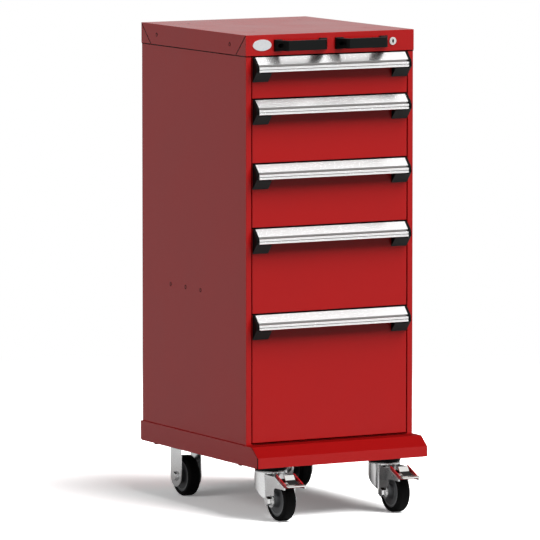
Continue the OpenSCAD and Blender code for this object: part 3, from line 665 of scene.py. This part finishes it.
# Lock: a die-cast barrel set through the fascia as far as its flange, and a core with a keyway that
# turns in it. Both have a satin nickel plate, a warm pale metal, cloudy in patches of 4 mm.
barrel_low, barrel_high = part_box("lock_barrel")
lock_middle = (barrel_low + barrel_high) / 2
core_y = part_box("lock_core")[0].y
keyway_mouth, keyway_end = 0.0005, 0.011
keyway_r = 0.0048
keyhole_shade_size = (0.0026, 0.0043, 0.0004)
keyhole_shade_out = 0.0001
nickel, tree = new_material("satin_nickel_plate")
place = add(tree, "TexCoord")
cloud = add(tree, "TexNoise", {"Vector": place.outputs["Object"]}, Scale=1 / 0.004, Detail=3)
dull = add(tree, "MapRange", {"Value": cloud.outputs["Fac"]},
           From_Min=0.3, From_Max=0.7, To_Min=0.18, To_Max=0.24)
shade = add(tree, "BsdfPrincipled", {"Roughness": dull.outputs[0]},
            Base_Color=linear("#E6E5E2"), Metallic=1)
add(tree, "OutputMaterial", {"Surface": shade.outputs[0]})


def in_keyway(face):
    """Whether a face of the core is a wall of its key slot."""
    middle = face.calc_center_median()
    off_axis = math.hypot(middle.x - lock_middle.x, middle.z - lock_middle.z)
    return keyway_mouth < middle.y - core_y < keyway_end and off_axis < keyway_r


dress("lock_barrel", nickel, [(near_plane(1, barrel_low.y), 0.8)])
# The walls of the key slot wear the black as painted shade.
dress("lock_core", nickel, accents=[(in_keyway, shade_black)])

# A black oval over the key slot is painted shade of the slot. Behind the fascia, the lock bar is zinc
# plated.
bm = bmesh.new()
key_hole = Matrix.Translation((lock_middle.x, core_y - keyhole_shade_out, lock_middle.z))
bmesh.ops.create_cone(bm, cap_ends=True, segments=32, radius1=1, radius2=0.95, depth=1,
                      matrix=key_hole @ Matrix.Rotation(math.pi / 2, 4, "X")
                      @ Matrix.Diagonal((*keyhole_shade_size, 1)))
finish_piece(bm, "keyhole_shade", [shade_black], "lock_core")
dress("lock_bar", zinc, [(is_any, 0.4)])


# Base: a deep folded pan whose front rises from a bumper lip to a sloping step, on two welded
# channels that carry the casters. It has the housing's red coat, and the rounded edges between the
# nose and the sides are black: painted shade along those corners.
base_low, base_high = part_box("base_frame")
nose_start = front_y - 0.030


def is_nose_edge(edge):
    """Whether an edge joins the nose to a side of the base."""
    at_side = near_plane(0, base_low.x)(edge) or near_plane(0, base_high.x)(edge)
    return at_side and not near_plane(2, base_low.z)(edge) and all(v.co.y < nose_start for v in edge.verts)


def in_nose_seam(face):
    """Whether a face is in the rounded edge between the nose and a side."""
    at_nose = face.calc_center_median().y < nose_start
    return at_nose and 0.1 < abs(face.normal.x) < 0.97 and face.normal.z > -0.1


def is_step(face):
    """Whether a face is the sloping step of the nose, or the ledge above it."""
    middle = face.calc_center_median()
    slope = face.normal.y < -0.4 and face.normal.z > 0.5 and middle.y < nose_start
    return slope or (face.normal.z > 0.99 and middle.z > base_high.z - plane_slack)


# The step and its ledge have the same red powder coat, a little darker and with hardly any gloss,
# uneven in patches of 40 mm: painted shade, so that the upward slope comes out darker than the lip.
step_shade_coat, tree = new_material("red_powder_coat_painted_shade")
place = add(tree, "TexCoord")
cloud = add(tree, "TexNoise", {"Vector": place.outputs["Object"]}, Scale=1 / 0.04, Detail=4)
dull = add(tree, "MapRange", {"Value": cloud.outputs["Fac"]},
           From_Min=0.3, From_Max=0.7, To_Min=0.45, To_Max=0.6)
tint = add(tree, "Mix", {"Factor": cloud.outputs["Fac"]},
           {colour_a: linear("#B01516"), colour_b: linear("#B61818")}, data_type="RGBA")
shade = add(tree, "BsdfPrincipled", {"Base Color": tint.outputs[mixed], "Roughness": dull.outputs[0]},
            IOR=1.45, Specular_IOR_Level=0.02)
add(tree, "OutputMaterial", {"Surface": shade.outputs[0]})

bumper = dress("base_frame", powder_coat, [(is_nose_edge, 1.8), (longer_than(0.03), 1.0)],
               [(in_nose_seam, shade_black), (is_step, step_shade_coat)])

# Edge clips: four black clips pressed over the lower edge of the base's sides.
clip_size = (0.0048, 0.012, 0.004)
clip_in = 0.0026
clip_drop = 0.0006
clip_round = 0.0007
bm = bmesh.new()
for side in (-1, 1):
    for clip_y in (0.026, 0.459):
        spot = (side * (base_high.x - clip_in), front_y + clip_y, base_low.z - clip_drop)
        clip = Matrix.Translation(spot) @ Matrix.Diagonal((*clip_size, 1))
        bmesh.ops.create_cube(bm, size=1, matrix=clip)
bmesh.ops.bevel(bm, geom=bm.edges[:], offset=clip_round, offset_type="OFFSET", affect="EDGES",
                segments=2, profile=0.5, material=-1)
finish_piece(bm, "base_edge_clips", [nylon], "base_frame")

# The bumper has a low softbox of its own, and the front one is flagged off it.
bumper_softbox = softbox("bumper_softbox", (0.30, -0.935, 0.18), 8, 2200)
flag(front_softbox, bumper, "EXCLUDE")
flag(bumper_softbox, bumper, "INCLUDE")
dress("caster_channels", zinc, [(longer_than(0.03), 0.6)])
dress("caster_bolts", zinc)


# Casters: pressed and zinc-plated forks on plates bolted under the base. The front pair swivel, and
# each has a brake: a pedal of bright steel, black between its tread and its tab as painted shade,
# between the cheeks of a red lever.
for node in ("front_caster_plates", "rear_caster_forks", "left_caster_fork", "right_caster_fork"):
    dress(node, zinc, [(longer_than(0.01), 0.5)], smooth=40)
dress("rear_caster_axles", zinc)

# Moulded lever: a deep red plastic with a moulder's gloss, uneven where it flowed, over about 10 mm.
brake_red, tree = new_material("red_moulded_lever")
place = add(tree, "TexCoord")
flow = add(tree, "TexNoise", {"Vector": place.outputs["Object"]}, Scale=1 / 0.01, Detail=2)
dull = add(tree, "MapRange", {"Value": flow.outputs["Fac"]},
           From_Min=0.3, From_Max=0.7, To_Min=0.22, To_Max=0.3)
shade = add(tree, "BsdfPrincipled", {"Roughness": dull.outputs[0]}, Base_Color=linear("#A81419"), IOR=1.5)
add(tree, "OutputMaterial", {"Surface": shade.outputs[0]})

pedal_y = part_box("left_brake_pedal")[0].y
tread_end = pedal_y + 0.0145
tab_foot = pedal_y + 0.0355


def in_pedal_hollow(face):
    """Whether a face is on the sloping plate between the tread and the tab, which is black as painted
    shade.
    """
    return tread_end < face.calc_center_median().y < tab_foot and face.normal.z > 0.2


for side in ("left", "right"):
    dress(f"{side}_brake_pedal", nickel, [(longer_than(0.004), 0.6)], [(in_pedal_hollow, nylon)])
    dress(f"{side}_brake_lever", brake_red, [(longer_than(0.004), 0.5)])


# Axle nuts: a tall locknut at the left end of each front axle and a low hex head at the other ends,
# over plain washers. The upper flats are black: painted shade, as they face the dark underside above.
nut_r = 0.0112
nut_h = 0.0115
nut_round = 0.0005
head_h = 0.0050
washer_r = 0.0132
washer_h = 0.0016
fork_half = 0.0290
least_flat = 0.00003


def axle_nuts(bm, wheel, left_h):
    """Adds the nut, the head and the washers of one wheel's axle."""
    tyre_low, tyre_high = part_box(wheel + "_tyre")
    axle = (tyre_low + tyre_high) / 2
    for way, tall in ((-1, left_h), (1, head_h)):
        outwards = Matrix.Rotation(way * math.pi / 2, 4, "Y")
        stud(bm, axle + Vector((way * fork_half, 0, 0)), outwards, washer_r, washer_r, washer_h, 32)
        flats_up = outwards @ Matrix.Rotation(math.pi / 6, 4, "Z")
        stud(bm, axle + Vector((way * (fork_half + washer_h), 0, 0)), flats_up, nut_r, nut_r, tall, 6)


for name, carrier, left_h, wheels in (
        ("left_axle_nuts", "left_caster_fork", nut_h, ["front_left"]),
        ("right_axle_nuts", "right_caster_fork", nut_h, ["front_right"]),
        ("rear_axle_nuts", "rear_caster_axles", head_h, ["rear_left", "rear_right"])):
    bm = bmesh.new()
    for wheel in wheels:
        axle_nuts(bm, wheel, left_h)
    sharp = [e for e in bm.edges if e.calc_face_angle() > math.radians(50)]
    bmesh.ops.bevel(bm, geom=sharp, offset=nut_round, offset_type="OFFSET", affect="EDGES",
                    segments=2, profile=0.5, material=-1)
    bm.normal_update()
    for face in bm.faces:
        if face.normal.z > 0.6 and len(face.verts) == 4 and face.calc_area() > least_flat:
            face.material_index = 1
    finish_piece(bm, name, [zinc, shade_black], carrier)


# Wheels: a black rubber tyre moulded on a hub of grey nylon, which has a long boss, a dished face and
# a raised ring near the rim. The rubber is nearly black and dull, dusty in patches of 10 mm.
rubber, tree = new_material("black_tyre_rubber")
place = add(tree, "TexCoord")
dust = add(tree, "TexNoise", {"Vector": place.outputs["Object"]}, Scale=1 / 0.01, Detail=5)
dull = add(tree, "MapRange", {"Value": dust.outputs["Fac"]},
           From_Min=0.3, From_Max=0.7, To_Min=0.55, To_Max=0.7)
shade = add(tree, "BsdfPrincipled", {"Roughness": dull.outputs[0]},
            Base_Color=linear("#060606"), IOR=1.5, Specular_IOR_Level=0.07)
add(tree, "OutputMaterial", {"Surface": shade.outputs[0]})

# Hub nylon: a mid grey with the half gloss of a plain mould, uneven over about 6 mm.
hub_grey, tree = new_material("grey_hub_nylon")
place = add(tree, "TexCoord")
flow = add(tree, "TexNoise", {"Vector": place.outputs["Object"]}, Scale=1 / 0.006, Detail=2)
dull = add(tree, "MapRange", {"Value": flow.outputs["Fac"]},
           From_Min=0.3, From_Max=0.7, To_Min=0.4, To_Max=0.5)
shade = add(tree, "BsdfPrincipled", {"Roughness": dull.outputs[0]}, Base_Color=linear("#6A6B6D"), IOR=1.5)
add(tree, "OutputMaterial", {"Surface": shade.outputs[0]})

# The raised ring of the hub is paler than the rest: a painted highlight where it catches the light.
ring_highlight_grey, tree = new_material("hub_nylon_painted_highlight")
place = add(tree, "TexCoord")
flow = add(tree, "TexNoise", {"Vector": place.outputs["Object"]}, Scale=1 / 0.006, Detail=2)
dull = add(tree, "MapRange", {"Value": flow.outputs["Fac"]},
           From_Min=0.3, From_Max=0.7, To_Min=0.45, To_Max=0.6)
shade = add(tree, "BsdfPrincipled", {"Roughness": dull.outputs[0]}, Base_Color=linear("#97989A"), IOR=1.5)
add(tree, "OutputMaterial", {"Surface": shade.outputs[0]})

# Half of the hub's section, as radius and distance from the wheel's middle in millimetres: boss,
# dished face, raised ring and rim.
hub_half = [
    (5.05, 25.5), (15.4, 25.5), (16, 24.9), (16.6, 12.2), (18, 11), (31.4, 11.6),
    (32, 12.4), (32.4, 13.4), (34.4, 13.4), (35, 12.8), (38.2, 13.2), (39, 12.6)]
hub_section = hub_half + [(r, -x) for r, x in reversed(hub_half)]
ring_from, ring_to = 0.0320, 0.0351
for corner in ("front_left", "front_right", "rear_left", "rear_right"):
    dress(f"{corner}_tyre", rubber, smooth=50)
    hub_low, hub_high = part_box(f"{corner}_hub")
    axle = (hub_low + hub_high) / 2
    bm = bmesh.new()
    points = [bm.verts.new(axle + Vector((x, 0, r)) * 0.001) for r, x in hub_section]
    outline = [bm.edges.new((points[i - 1], points[i])) for i in range(len(points))]
    bmesh.ops.spin(bm, geom=points + outline, cent=axle, axis=(1, 0, 0), angle=2 * math.pi,
                   steps=64, use_merge=True)
    bmesh.ops.remove_doubles(bm, verts=bm.verts, dist=weld_gap)
    bmesh.ops.recalc_face_normals(bm, faces=bm.faces)
    for face in bm.faces:
        radii = [math.hypot(v.co.y - axle.y, v.co.z - axle.z) for v in face.verts]
        if min(radii) > ring_from and max(radii) < ring_to:
            face.material_index = 1
    finish_piece(bm, f"{corner}_hub_finished", [hub_grey, ring_highlight_grey], f"{corner}_hub", [f"{corner}_hub"],
                 smooth=40)
